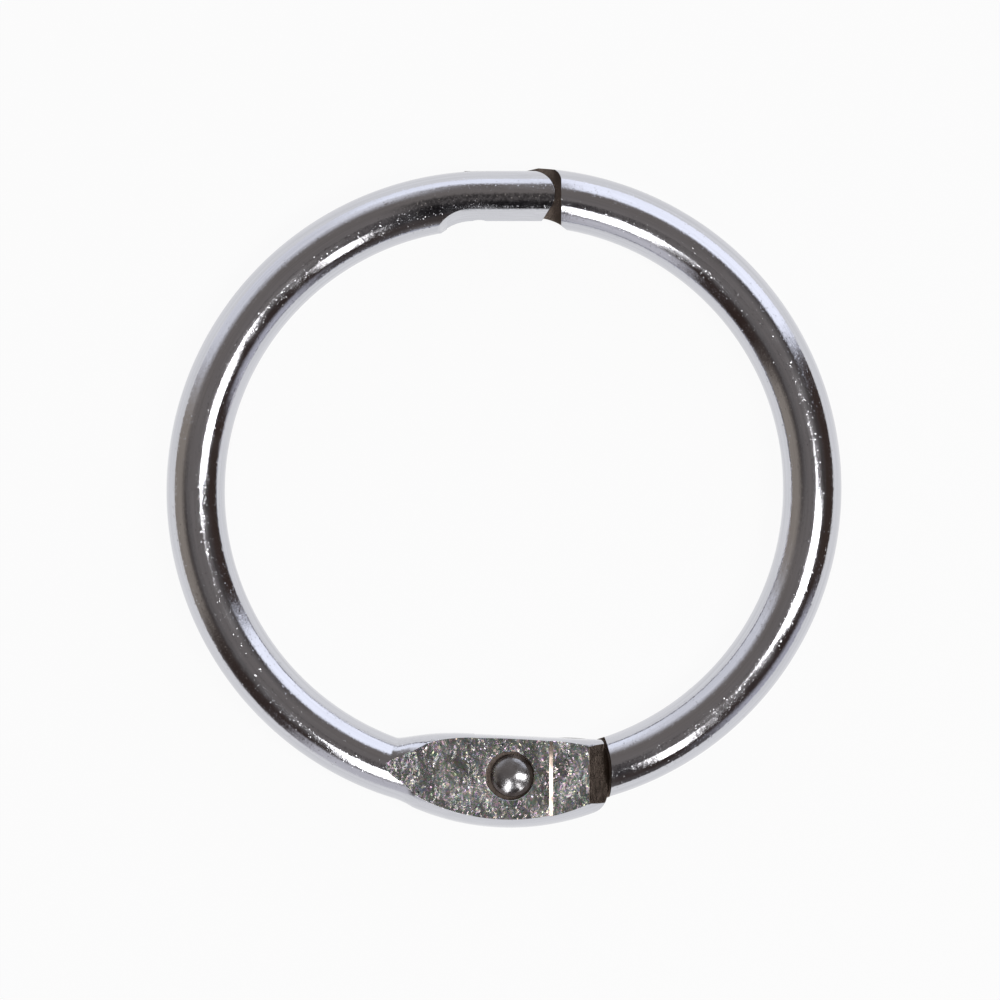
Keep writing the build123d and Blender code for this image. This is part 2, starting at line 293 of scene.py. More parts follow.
def earEndOutline(ear):
    # what lies past the ear's rounded end, with room for the cutter above, beside and below it
    above, beside, below, outward = 3, 6, 6, 4
    rivet = Vector((ear["rivetX"], ear["rivetY"]))
    edge = edgeCentre(ear).to_2d()
    innerEdge = ear["width"] / 2 + ear["shift"] - wire["bend"] - ear["slope"] * (ear["rivetX"] + ears["reach"])
    r = ears["outerCorner"]
    a, b = ears["reach"] - r, ears["curve"] - r
    d = (edge - rivet).length
    toEdge = (edge - rivet) / d
    x = (a * a - b * b + d * d) / (2 * d)
    h = sqrt(a * a - x * x)
    outerCorner = rivet + toEdge * x + Vector((toEdge.y, -toEdge.x)) * h
    small = ears["innerCorner"]
    dy = innerEdge - small - rivet.y
    innerCorner = Vector((rivet.x + sqrt((ears["reach"] - small) ** 2 - dy ** 2), innerEdge - small))

    def heading(v):
        return atan2(v.y, v.x) * 180 / pi

    edgeTurn = heading(outerCorner - edge)
    endTurn = heading(outerCorner - rivet)
    innerTurn = heading(innerCorner - rivet)
    points = arc(outerCorner, r, edgeTurn, endTurn, 20)
    points += arc(rivet, ears["reach"], endTurn, innerTurn, 40)[1:]
    points += arc(innerCorner, small, innerTurn, 90, 12)[1:]
    top = points[-1]
    low = points[0]
    away = (Vector(low) - edge).normalized() * outward
    return points + [
        (top[0], top[1] + above), (top[0] + beside, top[1] + above),
        (top[0] + beside, low[1] - below), (low[0] + away.x, low[1] + away.y)]


def tongueOutlines():
    flank = outerRadius - snap["tongueWidth"]
    start = -snap["shoulderReach"] - snap["rampBack"]
    low = sqrt(innerRadius ** 2 - (start + wire["spread"]) ** 2) - snap["rampLead"]
    far = snap["tipReach"] + 2 * over
    inner = concaveRamp(start, low, snap["ramp"], flank - low, 24) + [
        (far, flank), (far, innerRadius - over), (start, innerRadius - over)]
    noseX = snap["tipReach"] - snap["noseRadius"]
    noseY = outerRadius - snap["noseRadius"]
    nose = arc((noseX, noseY), snap["noseRadius"], 90, -snap["heelAngle"], 28)
    lowX, lowY = nose[-1]
    fall = lowY - (innerRadius - over)
    nose += [
        (lowX - fall * tan(radians(snap["heelAngle"])), innerRadius - over),
        (far, innerRadius - over), (far, outerRadius + over), (noseX, outerRadius + over)]
    return inner, nose


def shoulderOutline():
    far = snap["tipReach"] + 2 * over
    r = snap["curlRadius"]
    curl = arc((-snap["shoulderReach"] + r, outerRadius - r), r, 180, 90, 20)
    return curl + [
        (-snap["shoulderReach"] + r, outerRadius + over), (far, outerRadius + over),
        (far, innerRadius - over), (-snap["shoulderReach"], innerRadius - over)]


def crossBar(name, across, edgeHeight, rises, size, length, slots):
    # a round bar across the tongue, whose lowest or highest point shows by the given size over half the tooth's width
    radius = (snap["toothWidth"] ** 2 / 4 + size ** 2) / (2 * size)
    height = edgeHeight + size - radius if rises else edgeHeight - size + radius
    middle = outerRadius - snap["tongueWidth"] / 2
    turns = [2 * pi * k / snap["barSides"] for k in range(snap["barSides"])]
    outline = [(across + radius * cos(turn), height + radius * sin(turn)) for turn in turns]
    return prism(name, outline, middle - length / 2, middle + length / 2, 2, slots, upright=True)


def halfBlank(name, ear, slots):
    obj = tube(name, wireSections(ear), slots)
    profile, pressFinishes = pressProfile(ear)
    combine(obj, prism("press", profile, -wire["bend"] - ear["width"], 0, pressFinishes, slots, upright=True))
    combine(obj, prism("earEnd", earEndOutline(ear), -over, 2 * over, 2, slots))
    roomTop = half + ears["gap"] / 2
    roomRadius = ears["reach"] + ears["swingGap"]
    room = [(0, -over), (roomRadius, -over), (roomRadius, roomTop), (0, roomTop)]
    combine(obj, turned("room", room, (ear["rivetX"], ear["rivetY"]), 2, slots))
    inner, nose = tongueOutlines()
    combine(obj, prism("flank", inner, -over, 2 * over, 0, slots, lean=tan(radians(snap["flankSlant"]))))
    combine(obj, prism("nose", nose, -over, 2 * over, 2, slots))
    combine(obj, prism("shoulder", shoulderOutline(), -over, half + snap["gap"] / 2, 2, slots))
    face = half + snap["gap"] / 2
    toothX = snap["tipReach"] - snap["toothFromTip"]
    combine(obj, crossBar("groove", -toothX, face, True, snap["grooveDepth"], 2 * over, slots))
    toothLength = snap["tongueWidth"] - 2 * snap["relief"]
    tooth = crossBar("tooth", toothX, face, False, snap["toothHeight"], toothLength, slots)
    # only the bar's lowest part is kept, with enough above the face to join it
    join = 0.02
    depth = 1
    around = [(0, 8), (3, 8), (3, 18), (0, 18)]
    combine(tooth, prism("toothPart", around, face - depth, face + join, 2, slots), "INTERSECT")
    combine(obj, tooth, "UNION")
    return obj


edges = {"merge": 1e-5, "sharp": 26}


def finishEdges(obj, turn=None):
    # crisp edges where the angle is sharp or where two finishes meet, smooth shading elsewhere
    bm = bmesh.new()
    bm.from_mesh(obj.data)
    bmesh.ops.remove_doubles(bm, verts=bm.verts, dist=edges["merge"])
    if turn:
        bmesh.ops.transform(bm, matrix=turn, verts=bm.verts)
    bmesh.ops.scale(bm, vec=(mm, mm, mm), verts=bm.verts)
    for edge in bm.edges:
        if len(edge.link_faces) == 2:
            a, b = edge.link_faces
            steep = a.normal.angle(b.normal, 0) > radians(edges["sharp"])
            edge.smooth = not steep and a.material_index == b.material_index
    for face in bm.faces:
        face.smooth = True
    bm.to_mesh(obj.data)
    bm.free()


def feed(tree, socket, value):
    # a link from another node's output, or else a plain value
    if isinstance(value, bpy.types.NodeSocket):
        tree.links.new(value, socket)
    elif value is not None:
        socket.default_value = value


def addNode(tree, kind, **inputs):
    node = tree.nodes.new(kind)
    for key, value in inputs.items():
        feed(tree, node.inputs[key.replace("_", " ")], value)
    return node


def math(tree, operation, a, b=None, c=None):
    node = tree.nodes.new("ShaderNodeMath")
    node.operation = operation
    for k, value in enumerate((a, b, c)):
        feed(tree, node.inputs[k], value)
    return node.outputs[0]


def product(tree, a, b):
    return math(tree, "MULTIPLY", a, b)


def vectorMath(tree, operation, a, b=None, scale=None):
    node = tree.nodes.new("ShaderNodeVectorMath")
    node.operation = operation
    feed(tree, node.inputs[0], a)
    feed(tree, node.inputs[1], b)
    if scale is not None:
        feed(tree, node.inputs["Scale"], scale)
    return node.outputs["Value"] if operation == "LENGTH" else node.outputs[0]


def smoothRange(tree, value, low, high, toLow=0.0, toHigh=1.0, smooth=True):
    node = tree.nodes.new("ShaderNodeMapRange")
    node.interpolation_type = "SMOOTHSTEP" if smooth else "LINEAR"
    for key, item in zip(("Value", "From Min", "From Max", "To Min", "To Max"), (value, low, high, toLow, toHigh)):
        feed(tree, node.inputs[key], item)
    return node.outputs["Result"]


def mixColour(tree, factor, a, b, blend="MIX"):
    node = tree.nodes.new("ShaderNodeMix")
    node.data_type = "RGBA"
    node.blend_type = blend
    for key, item in ((0, factor), (6, a), (7, b)):  # the colour sockets among the node's hidden ones
        feed(tree, node.inputs[key], item)
    return node.outputs[2]


def multiplied(tree, a, b):
    return mixColour(tree, 1.0, a, b, "MULTIPLY")


def grey(tree, value):
    return addNode(tree, "ShaderNodeCombineColor", Red=value, Green=value, Blue=value).outputs[0]


def newGroup(name, inputs, outputs):
    tree = bpy.data.node_groups.new(name, "ShaderNodeTree")
    for label, kind, value in inputs:
        socket = tree.interface.new_socket(name=label, in_out="INPUT", socket_type=kind)
        if value is not None:
            socket.default_value = value
    for label, kind in outputs:
        tree.interface.new_socket(name=label, in_out="OUTPUT", socket_type=kind)
    return tree, tree.nodes.new("NodeGroupInput"), tree.nodes.new("NodeGroupOutput")


def useGroup(tree, group, **inputs):
    node = tree.nodes.new("ShaderNodeGroup")
    node.node_tree = group
    for key, value in inputs.items():
        feed(tree, node.inputs[key.replace("_", " ")], value)
    return node


# the shared surface effects take places in millimetres of the ring's own space
grainLook = {
    "linesAcross": 9.0, "linesAlong": 2.2,  # how close the drawing lines stand across the wire and along its bend
    "swellScale": 0.9, "pitScale": 1.6, "pitRadius": (0.11, 0.03),
    "grainHeight": 1.5, "swellHeight": 4.0, "pitHeight": 0.8,
    "dullFromSwell": 0.6, "dullFromGrain": 0.4,
    "lineTone": (0.94, 1.03), "pitTone": 0.7}


def makeWireGrain():
    # fine grain of the plating, long drawing lines round the bend, and small pits
    tree, inn, out = newGroup(
        "wireGrain",
        [("Place", "NodeSocketVector", None), ("Bend Centre", "NodeSocketVector", None),
         ("Grain Size", "NodeSocketFloat", 0.09), ("Line Depth", "NodeSocketFloat", 0.25),
         ("Pit Share", "NodeSocketFloat", 0.05)],
        [("Height", "NodeSocketFloat"), ("Dull", "NodeSocketFloat"), ("Tone", "NodeSocketColor")])
    look = grainLook
    place = inn.outputs["Place"]
    centred = vectorMath(tree, "SUBTRACT", place, inn.outputs["Bend Centre"])
    radius = vectorMath(tree, "LENGTH", vectorMath(tree, "MULTIPLY", centred, (1, 1, 0)))
    split = addNode(tree, "ShaderNodeSeparateXYZ", Vector=centred)
    bearing = math(tree, "ARCTAN2", split.outputs["Y"], split.outputs["X"])
    alongWire = addNode(
        tree, "ShaderNodeCombineXYZ", X=product(tree, radius, look["linesAcross"]),
        Y=product(tree, bearing, look["linesAlong"]), Z=product(tree, split.outputs["Z"], look["linesAcross"]))
    lines = addNode(tree, "ShaderNodeTexNoise", Vector=alongWire.outputs[0], Scale=1.0, Detail=3.0, Roughness=0.6)
    grainScale = math(tree, "DIVIDE", 1.0, inn.outputs["Grain Size"])
    grain = addNode(tree, "ShaderNodeTexNoise", Vector=place, Scale=grainScale, Detail=2.0, Roughness=0.65)
    swell = addNode(tree, "ShaderNodeTexNoise", Vector=place, Scale=look["swellScale"], Detail=1.0, Roughness=0.5)
    pitCells = addNode(tree, "ShaderNodeTexVoronoi", Vector=place, Scale=look["pitScale"])
    pitColour = addNode(tree, "ShaderNodeSeparateColor", Color=pitCells.outputs["Color"])
    pitHere = math(tree, "LESS_THAN", pitColour.outputs[0], inn.outputs["Pit Share"])
    pit = product(tree, smoothRange(tree, pitCells.outputs["Distance"], *look["pitRadius"]), pitHere)
    height = product(tree, lines.outputs[0], inn.outputs["Line Depth"])
    height = math(tree, "ADD", height, product(tree, grain.outputs[0], look["grainHeight"]))
    height = math(tree, "ADD", height, product(tree, swell.outputs[0], look["swellHeight"]))
    height = math(tree, "SUBTRACT", height, product(tree, pit, look["pitHeight"]))
    tree.links.new(height, out.inputs["Height"])
    dull = smoothRange(tree, swell.outputs[0], 0.35, 0.7, 0.0, look["dullFromSwell"])
    dull = math(tree, "ADD", dull, product(tree, grain.outputs[0], look["dullFromGrain"]))
    tree.links.new(dull, out.inputs["Dull"])
    shade = smoothRange(tree, lines.outputs[0], 0.3, 0.7, *look["lineTone"])
    shade = product(tree, shade, smoothRange(tree, pit, 0.0, 1.0, 1.0, look["pitTone"]))
    tree.links.new(grey(tree, shade), out.inputs["Tone"])
    return tree


crystalLook = {
    "waveScale": 1.4, "wave": 0.5,  # bends the rows of facets
    "slant": -14, "stretch": (1.0, 0.34, 0.6), "fineness": 1.7, "fineShare": 0.7,
    "patchScale": 1.1, "patchTone": (0.82, 1.12), "patchDull": (0.5, 1.0), "sparkleShine": 0.5}


def makeCrystalFace():
    # short slanting facets left by the press, each tilted its own way and faintly coloured
    tree, inn, out = newGroup(
        "crystalFace",
        [("Place", "NodeSocketVector", None), ("Normal", "NodeSocketVector", None),
         ("Facet Size", "NodeSocketFloat", 0.1), ("Tilt", "NodeSocketFloat", 0.2),
         ("Sparkle Tilt", "NodeSocketFloat", 0.6), ("Sparkle Share", "NodeSocketFloat", 0.06),
         ("Colour Play", "NodeSocketFloat", 0.3)],
        [("Normal", "NodeSocketVector"), ("Tone", "NodeSocketColor"), ("Dull", "NodeSocketFloat")])
    look = crystalLook
    place = inn.outputs["Place"]
    wave = addNode(tree, "ShaderNodeTexNoise", Vector=place, Scale=look["waveScale"], Detail=1.0)
    wave = vectorMath(tree, "SCALE", wave.outputs["Color"], scale=look["wave"])
    shifted = vectorMath(tree, "ADD", place, wave)
    mapping = addNode(
        tree, "ShaderNodeMapping", Vector=shifted, Rotation=(0, 0, radians(look["slant"])), Scale=look["stretch"])
    size = math(tree, "DIVIDE", 1.0, inn.outputs["Facet Size"])
    fineSize = product(tree, size, look["fineness"])
    cells = addNode(tree, "ShaderNodeTexVoronoi", Vector=mapping.outputs[0], Scale=size, Randomness=1.0)
    fine = addNode(tree, "ShaderNodeTexVoronoi", Vector=shifted, Scale=fineSize, Randomness=1.0)
    middle = (0.5, 0.5, 0.5)
    lean = vectorMath(tree, "SUBTRACT", cells.outputs["Color"], middle)
    leanFine = vectorMath(tree, "SUBTRACT", fine.outputs["Color"], middle)
    lean = vectorMath(tree, "ADD", lean, vectorMath(tree, "SCALE", leanFine, scale=look["fineShare"]))
    chance = addNode(tree, "ShaderNodeTexWhiteNoise", Vector=fine.outputs["Position"])
    sparkle = math(tree, "LESS_THAN", chance.outputs["Value"], inn.outputs["Sparkle Share"])
    tilt = math(tree, "ADD", inn.outputs["Tilt"], product(tree, sparkle, inn.outputs["Sparkle Tilt"]))
    lean = vectorMath(tree, "SCALE", lean, scale=tilt)
    normal = vectorMath(tree, "NORMALIZE", vectorMath(tree, "ADD", inn.outputs["Normal"], lean))
    tree.links.new(normal, out.inputs["Normal"])
    play = mixColour(tree, inn.outputs["Colour Play"], (1, 1, 1, 1), fine.outputs["Color"])
    patches = addNode(tree, "ShaderNodeTexNoise", Vector=place, Scale=look["patchScale"], Detail=3.0)
    patch = smoothRange(tree, patches.outputs[0], 0.3, 0.7, *look["patchTone"])
    tree.links.new(multiplied(tree, play, grey(tree, patch)), out.inputs["Tone"])
    dull = smoothRange(tree, patches.outputs[0], 0.3, 0.75, *look["patchDull"])
    dull = math(tree, "SUBTRACT", dull, product(tree, sparkle, look["sparkleShine"]))
    tree.links.new(dull, out.inputs["Dull"])
    return tree


# sizes of the painted dark reflection and the painted glints on the crown
crownPaintedLook = {
    "innerEdge": 12.5, "outerEdge": 13.2, "runOut": -5.0, "fade": 2.6,
    "wobbleScale": 5.0, "wobble": 0.16, "innerSoftness": (-0.05, 0.06), "outerSoftness": (-0.08, 0.08),
    "fromY": (8.0, 9.0), "fromZ": (0.2, 0.4),  # the snap's side, and the upper part of the wire
    "mottleScale": 9.0, "mottle": (0.62, 0.4, 0.55, 1.0),
    "speckScale": 6.5, "speckRadius": (0.3, 0.12), "speckShare": 0.45}


def makeCrownPaintedReflection():
    # painted dark reflection along the crown near the snap, on the wire's upper side that faces the camera, with
    # painted white glint specks; it runs out round the bend
    look = crownPaintedLook
    tree, inn, out = newGroup(
        "crownPaintedReflection",
        [("Place", "NodeSocketVector", None), ("Bend Centre", "NodeSocketVector", None),
         ("Inner Edge", "NodeSocketFloat", look["innerEdge"]), ("Outer Edge", "NodeSocketFloat", look["outerEdge"]),
         ("Run Out", "NodeSocketFloat", look["runOut"])],
        [("Painted Dark", "NodeSocketFloat"), ("Painted Glint", "NodeSocketFloat")])
    place = inn.outputs["Place"]
    wobble = addNode(
        tree, "ShaderNodeTexNoise", Vector=place, Scale=look["wobbleScale"], Detail=3.0, Roughness=0.6)
    centred = vectorMath(tree, "SUBTRACT", place, inn.outputs["Bend Centre"])
    split = addNode(tree, "ShaderNodeSeparateXYZ", Vector=centred)
    x, y, z = split.outputs
    across = addNode(tree, "ShaderNodeCombineXYZ", X=math(tree, "MINIMUM", x, 0.0), Y=y)
    radius = vectorMath(tree, "LENGTH", across.outputs[0])
    shift = product(tree, math(tree, "SUBTRACT", wobble.outputs[0], 0.5), look["wobble"])
    radius = math(tree, "ADD", radius, shift)
    inside = math(tree, "SUBTRACT", radius, inn.outputs["Inner Edge"])
    outside = math(tree, "SUBTRACT", inn.outputs["Outer Edge"], radius)
    band = product(
        tree, smoothRange(tree, inside, *look["innerSoftness"]), smoothRange(tree, outside, *look["outerSoftness"]))
    start = inn.outputs["Run Out"]
    band = product(tree, band, smoothRange(tree, x, start, math(tree, "ADD", start, look["fade"])))
    band = product(tree, band, smoothRange(tree, y, *look["fromY"]))
    band = product(tree, band, smoothRange(tree, z, *look["fromZ"]))
    mottle = addNode(
        tree, "ShaderNodeTexNoise", Vector=place, Scale=look["mottleScale"], Detail=3.0, Roughness=0.7)
    paintedDark = product(tree, band, smoothRange(tree, mottle.outputs[0], *look["mottle"]))
    tree.links.new(paintedDark, out.inputs["Painted Dark"])
    cells = addNode(tree, "ShaderNodeTexVoronoi", Vector=place, Scale=look["speckScale"])
    chance = addNode(tree, "ShaderNodeSeparateColor", Color=cells.outputs["Color"])
    here = math(tree, "LESS_THAN", chance.outputs[0], look["speckShare"])
    paintedGlint = product(tree, smoothRange(tree, cells.outputs["Distance"], *look["speckRadius"]), here)
    tree.links.new(product(tree, paintedGlint, band), out.inputs["Painted Glint"])
    return tree


wireGrain = makeWireGrain()
crownPaintedReflection = makeCrownPaintedReflection()
crystalFace = makeCrystalFace()


def newMaterial(name):
    material = bpy.data.materials.new(name)
    material.use_nodes = True
    tree = material.node_tree
    tree.nodes.clear()
    shader = tree.nodes.new("ShaderNodeBsdfPrincipled")
    output = tree.nodes.new("ShaderNodeOutputMaterial")
    tree.links.new(shader.outputs[0], output.inputs["Surface"])
    shader.inputs["Metallic"].default_value = 1.0
    coords = tree.nodes.new("ShaderNodeTexCoord")
    place = vectorMath(tree, "SCALE", coords.outputs["Object"], scale=1000.0)
    return material, tree, shader, place


def softEdge(tree, radius):
    node = addNode(tree, "ShaderNodeBevel", Radius=radius * mm)
    node.samples = 4
    return node.outputs[0]


nickel = {
    "colour": (0.60, 0.605, 0.645, 1), "roughness": (0.07, 0.17), "bump": 0.0012, "edge": 0.018,
    "grain": 0.085, "lineDepth": 0.3, "pitShare": 0.06,
    "facet": 0.06, "tilt": 0.012, "sparkleTilt": 0.17, "sparkleShare": 0.08,
    "paintedDark": (0.09, 0.09, 0.1, 1), "paintedDarkDepth": 0.85, "paintedGlint": (1.0, 1.0, 1.0, 1), "paintedGlintDepth": 0.75}


def plainNickel(name, centre, withPaintedReflection=False):
    material, tree, shader, place = newMaterial(name)
    bendCentre = (centre[0], centre[1], half)
    grain = useGroup(
        tree, wireGrain, Place=place, Bend_Centre=bendCentre, Grain_Size=nickel["grain"],
        Line_Depth=nickel["lineDepth"], Pit_Share=nickel["pitShare"])
    colour = multiplied(tree, nickel["colour"], grain.outputs["Tone"])
    # the crown gets a painted dark reflection and painted white glints in the base colour
    if withPaintedReflection:
        paintedDark = useGroup(tree, crownPaintedReflection, Place=place, Bend_Centre=bendCentre)
        darkness = product(tree, paintedDark.outputs["Painted Dark"], nickel["paintedDarkDepth"])
        colour = mixColour(tree, darkness, colour, nickel["paintedDark"])
        colour = mixColour(tree, product(tree, paintedDark.outputs["Painted Glint"], nickel["paintedGlintDepth"]), colour, nickel["paintedGlint"])
    tree.links.new(colour, shader.inputs["Base Color"])
    roughness = smoothRange(tree, grain.outputs["Dull"], 0.0, 1.0, *nickel["roughness"], smooth=False)
    tree.links.new(roughness, shader.inputs["Roughness"])
    specks = useGroup(
        tree, crystalFace, Place=place, Normal=softEdge(tree, nickel["edge"]), Facet_Size=nickel["facet"],
        Tilt=nickel["tilt"], Sparkle_Tilt=nickel["sparkleTilt"], Sparkle_Share=nickel["sparkleShare"],
        Colour_Play=0.0)
    bump = addNode(
        tree, "ShaderNodeBump", Strength=1.0, Distance=nickel["bump"] * mm, Height=grain.outputs["Height"],
        Normal=specks.outputs["Normal"])
    tree.links.new(bump.outputs[0], shader.inputs["Normal"])
    return material


pressed = {
    "colour": (0.46, 0.475, 0.47, 1), "roughness": (0.13, 0.34), "facet": 0.11, "tilt": 0.2,
    "sparkleTilt": 0.45, "sparkleShare": 0.08, "play": 0.4,
    "runout": (5.3, 3.0), "runoutTone": 0.5}  # the run-out darkens between these two distances from the middle


def pressedNickel(name):
    material, tree, shader, place = newMaterial(name)
    geometry = tree.nodes.new("ShaderNodeNewGeometry")
    facets = useGroup(
        tree, crystalFace, Place=place, Normal=geometry.outputs["Normal"], Facet_Size=pressed["facet"],
        Tilt=pressed["tilt"], Sparkle_Tilt=pressed["sparkleTilt"], Sparkle_Share=pressed["sparkleShare"],
        Colour_Play=pressed["play"])
    colour = multiplied(tree, pressed["colour"], facets.outputs["Tone"])
    across = math(tree, "ABSOLUTE", addNode(tree, "ShaderNodeSeparateXYZ", Vector=place).outputs["X"])
    fade = smoothRange(tree, across, *pressed["runout"], pressed["runoutTone"], 1.0)
    tree.links.new(multiplied(tree, colour, grey(tree, fade)), shader.inputs["Base Color"])
    roughness = smoothRange(tree, facets.outputs["Dull"], 0.0, 1.0, *pressed["roughness"], smooth=False)
    tree.links.new(roughness, shader.inputs["Roughness"])
    tree.links.new(facets.outputs["Normal"], shader.inputs["Normal"])
    return material


# the lap faces and ends, then the bevel with the press mark, then the rivet; "lines" is how fine the lines are in
# x, y and z, so that they run along the axis with the least
# the dark brown of these cut faces is painted shade, as in the deep gaps between the ears and the tongues
sheared = {
    "colour": (0.24, 0.2, 0.175, 1), "roughness": (0.26, 0.4), "bump": 0.004, "edge": 0.03,
    "lines": (9.0, 3.0, 9.0)}
# the bevel's very dark brown is a painted dark reflection of the other half's wall, which keeps the ear's end dark
# all over
bevelled = {
    "colour": (0.13, 0.105, 0.09, 1), "roughness": (0.2, 0.32), "bump": 0.004, "edge": 0.05,
    "lines": (11.0, 2.5, 2.0), "markHighlightFade": (-11.1, -12.1), "markHighlightTone": 4.5, "markReach": 2.6}
rivetFinish = {
    "colour": (0.5, 0.5, 0.52, 1), "roughness": (0.14, 0.26), "bump": 0.012, "edge": 0.03,
    "lines": (3.0, 3.0, 3.0)}


def shearedNickel(name, finish):
    material, tree, shader, place = newMaterial(name)
    mapping = addNode(tree, "ShaderNodeMapping", Vector=place, Scale=finish["lines"])
    lines = addNode(
        tree, "ShaderNodeTexNoise", Vector=mapping.outputs[0], Scale=1.0, Detail=4.0, Roughness=0.65)
    patches = addNode(tree, "ShaderNodeTexNoise", Vector=place, Scale=1.5, Detail=2.0)
    shade = smoothRange(tree, patches.outputs[0], 0.3, 0.7, 0.85, 1.1)
    if "markHighlightFade" in finish:
        # the press mark is brighter than the bevel, partly its own plain metal and partly a painted highlight of its
        # step, and the painted highlight fades towards the ear's inner edge
        split = addNode(tree, "ShaderNodeSeparateXYZ", Vector=place)
        fade = smoothRange(tree, split.outputs["Y"], *finish["markHighlightFade"], 0.1, 1.0)
        mottle = smoothRange(
            tree, patches.outputs[0], 0.35, 0.55, 0.5 * finish["markHighlightTone"], finish["markHighlightTone"])
        across = math(tree, "ABSOLUTE", split.outputs["X"])
        atMark = math(tree, "LESS_THAN", across, finish["markReach"])
        mark = product(tree, product(tree, fade, mottle), atMark)
        shade = product(tree, shade, math(tree, "ADD", mark, math(tree, "SUBTRACT", 1.0, atMark)))
    tree.links.new(multiplied(tree, finish["colour"], grey(tree, shade)), shader.inputs["Base Color"])
    roughness = smoothRange(tree, lines.outputs[0], 0.3, 0.7, *finish["roughness"])
    tree.links.new(roughness, shader.inputs["Roughness"])
    bump = addNode(
        tree, "ShaderNodeBump", Strength=1.0, Distance=finish["bump"] * mm, Height=lines.outputs[0],
        Normal=softEdge(tree, finish["edge"]))
    tree.links.new(bump.outputs[0], shader.inputs["Normal"])
    return material


# slots: 0 the wire, 1 the pressed face, 2 the lap faces and ends, 3 the bevel and the press mark
# only the front wire carries the painted dark reflection and glints on its crown
frontSlots = [
    plainNickel("frontWireNickel", (-wire["spread"], rise["front"]), True), pressedNickel("frontPressedNickel"),
    shearedNickel("frontShearedNickel", sheared), shearedNickel("frontBevelNickel", bevelled)]
rearSlots = [
    plainNickel("rearWireNickel", (wire["spread"], rise["rear"])), pressedNickel("rearPressedNickel"),
    shearedNickel("rearShearedNickel", sheared), shearedNickel("rearBevelNickel", bevelled)]
rivetSlots = [shearedNickel("rivetNickel", rivetFinish)]
print("binder ring: finishes ready")

frontEar = ears["front"]
frontHalf = halfBlank("frontHalfRing", frontEar, frontSlots)
recess = {"radius": 1.07, "depth": 0.5, "lip": 0.06, "bore": 0.7}
inside = 0.5  # height at which the hole cutters start, inside the room for the other ear
faceHeight = wire["diameter"] - ears["pressDepth"]
floorHeight = faceHeight - recess["depth"]
lip = []
for angle in range(0, 91, 10):
    a = radians(angle)
    lip.append((
        recess["radius"] + recess["lip"] * (1 - cos(a)), faceHeight - recess["lip"] + recess["lip"] * sin(a)))
boreProfile = [
    (0, inside), (recess["bore"], inside), (recess["bore"], floorHeight), (recess["radius"], floorHeight)]
boreProfile += lip + [(recess["radius"] + recess["lip"], faceHeight + 1), (0, faceHeight + 1)]
boreFinishes = [2] * 4 + [1] * (len(boreProfile) - 5)
bore = turned("bore", boreProfile, (frontEar["rivetX"], frontEar["rivetY"]), boreFinishes, frontSlots)
combine(frontHalf, bore)
finishEdges(frontHalf, Matrix.Translation((0, rise["front"], 0)))
print("binder ring: front half made,", len(frontHalf.data.polygons), "faces")

rearEar = ears["rear"]
rearHalf = halfBlank("rearHalfRing", rearEar, rearSlots)
far = snap["tipReach"] + 2 * over
reliefStart = snap["reliefStart"] - snap["shoulderReach"]
reliefLow = outerRadius - snap["relief"]
relief = [
    (reliefStart, outerRadius), (reliefStart + snap["reliefRamp"], reliefLow), (far, reliefLow),
    (far, outerRadius + over), (reliefStart, outerRadius + over)]
combine(rearHalf, prism("relief", relief, -over, 2 * over, 0, rearSlots))
rivetSizes = {
    "x": 0.27, "y": -12.3, "shank": 0.65, "headRadius": 0.94, "rim": 0.12, "dome": 0.28, "headShift": 0.09,
    "headEdge": 0.03, "rimEdge": 0.02, "domeInset": 0.012, "domeSteps": 24, "shankInHead": 0.05,
    "tailRadius": 0.95, "tailDepth": 0.3, "tailFlare": 0.02, "float": 0.03, "tailHeight": 0.155}
tailTop = wire["diameter"] - rivetSizes["tailHeight"]
tailLow = tailTop - rivetSizes["tailDepth"]
holeProfile = [
    (0, inside), (rivetSizes["shank"], inside), (rivetSizes["shank"], tailLow), (rivetSizes["tailRadius"], tailTop),
    (rivetSizes["tailRadius"] + rivetSizes["tailFlare"], tailTop + 1), (0, tailTop + 1)]
combine(rearHalf, turned("hole", holeProfile, (rearEar["rivetX"], rearEar["rivetY"]), 2, rearSlots))
turnOver = Matrix.Translation((0, rise["rear"], wire["diameter"])) @ Matrix.Rotation(pi, 4, "Y")
finishEdges(rearHalf, turnOver)
print("binder ring: rear half made,", len(rearHalf.data.polygons), "faces")

# the rivet is made where it stands: a domed head over a rim, and a shank that spreads into the tail below
headLow = floorHeight + rivetSizes["float"]
headHigh = headLow + rivetSizes["rim"]
radius = rivetSizes["headRadius"]
ball = (radius ** 2 + rivetSizes["dome"] ** 2) / (2 * rivetSizes["dome"])
headProfile = [
    (0, headLow), (radius - rivetSizes["headEdge"], headLow), (radius, headLow + rivetSizes["headEdge"]),
    (radius, headHigh - rivetSizes["rimEdge"])]
steps = rivetSizes["domeSteps"]
for k in range(steps + 1):
    turn = asin((radius - rivetSizes["domeInset"]) / ball) * (1 - k / steps)
    headProfile.append((ball * sin(turn), headHigh + rivetSizes["dome"] - ball + ball * cos(turn)))
shankTop = headLow + rivetSizes["shankInHead"]
shankProfile = [
    (0, rivetSizes["tailHeight"]), (rivetSizes["tailRadius"], rivetSizes["tailHeight"]),
    (rivetSizes["shank"], rivetSizes["tailHeight"] + rivetSizes["tailDepth"]),
    (rivetSizes["shank"], shankTop), (0, shankTop)]
rivet = turned("hingeRivet", shankProfile, (rivetSizes["x"], rivetSizes["y"]), 0, rivetSlots, 96)
headCentre = (rivetSizes["x"] + rivetSizes["headShift"], rivetSizes["y"])
combine(rivet, turned("head", headProfile, headCentre, 0, rivetSlots, 96), "UNION")
finishEdges(rivet)
print("binder ring: rivet made")

for obj, node, body, slotName in (
        (frontHalf, "front_half_ring", "front_half", "front_wire"),
        (rearHalf, "rear_half_ring", "rear_half", "rear_wire"),
        (rivet, "hinge_rivet", "rear_half", "rivet")):
    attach(obj, body)
    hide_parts(node)


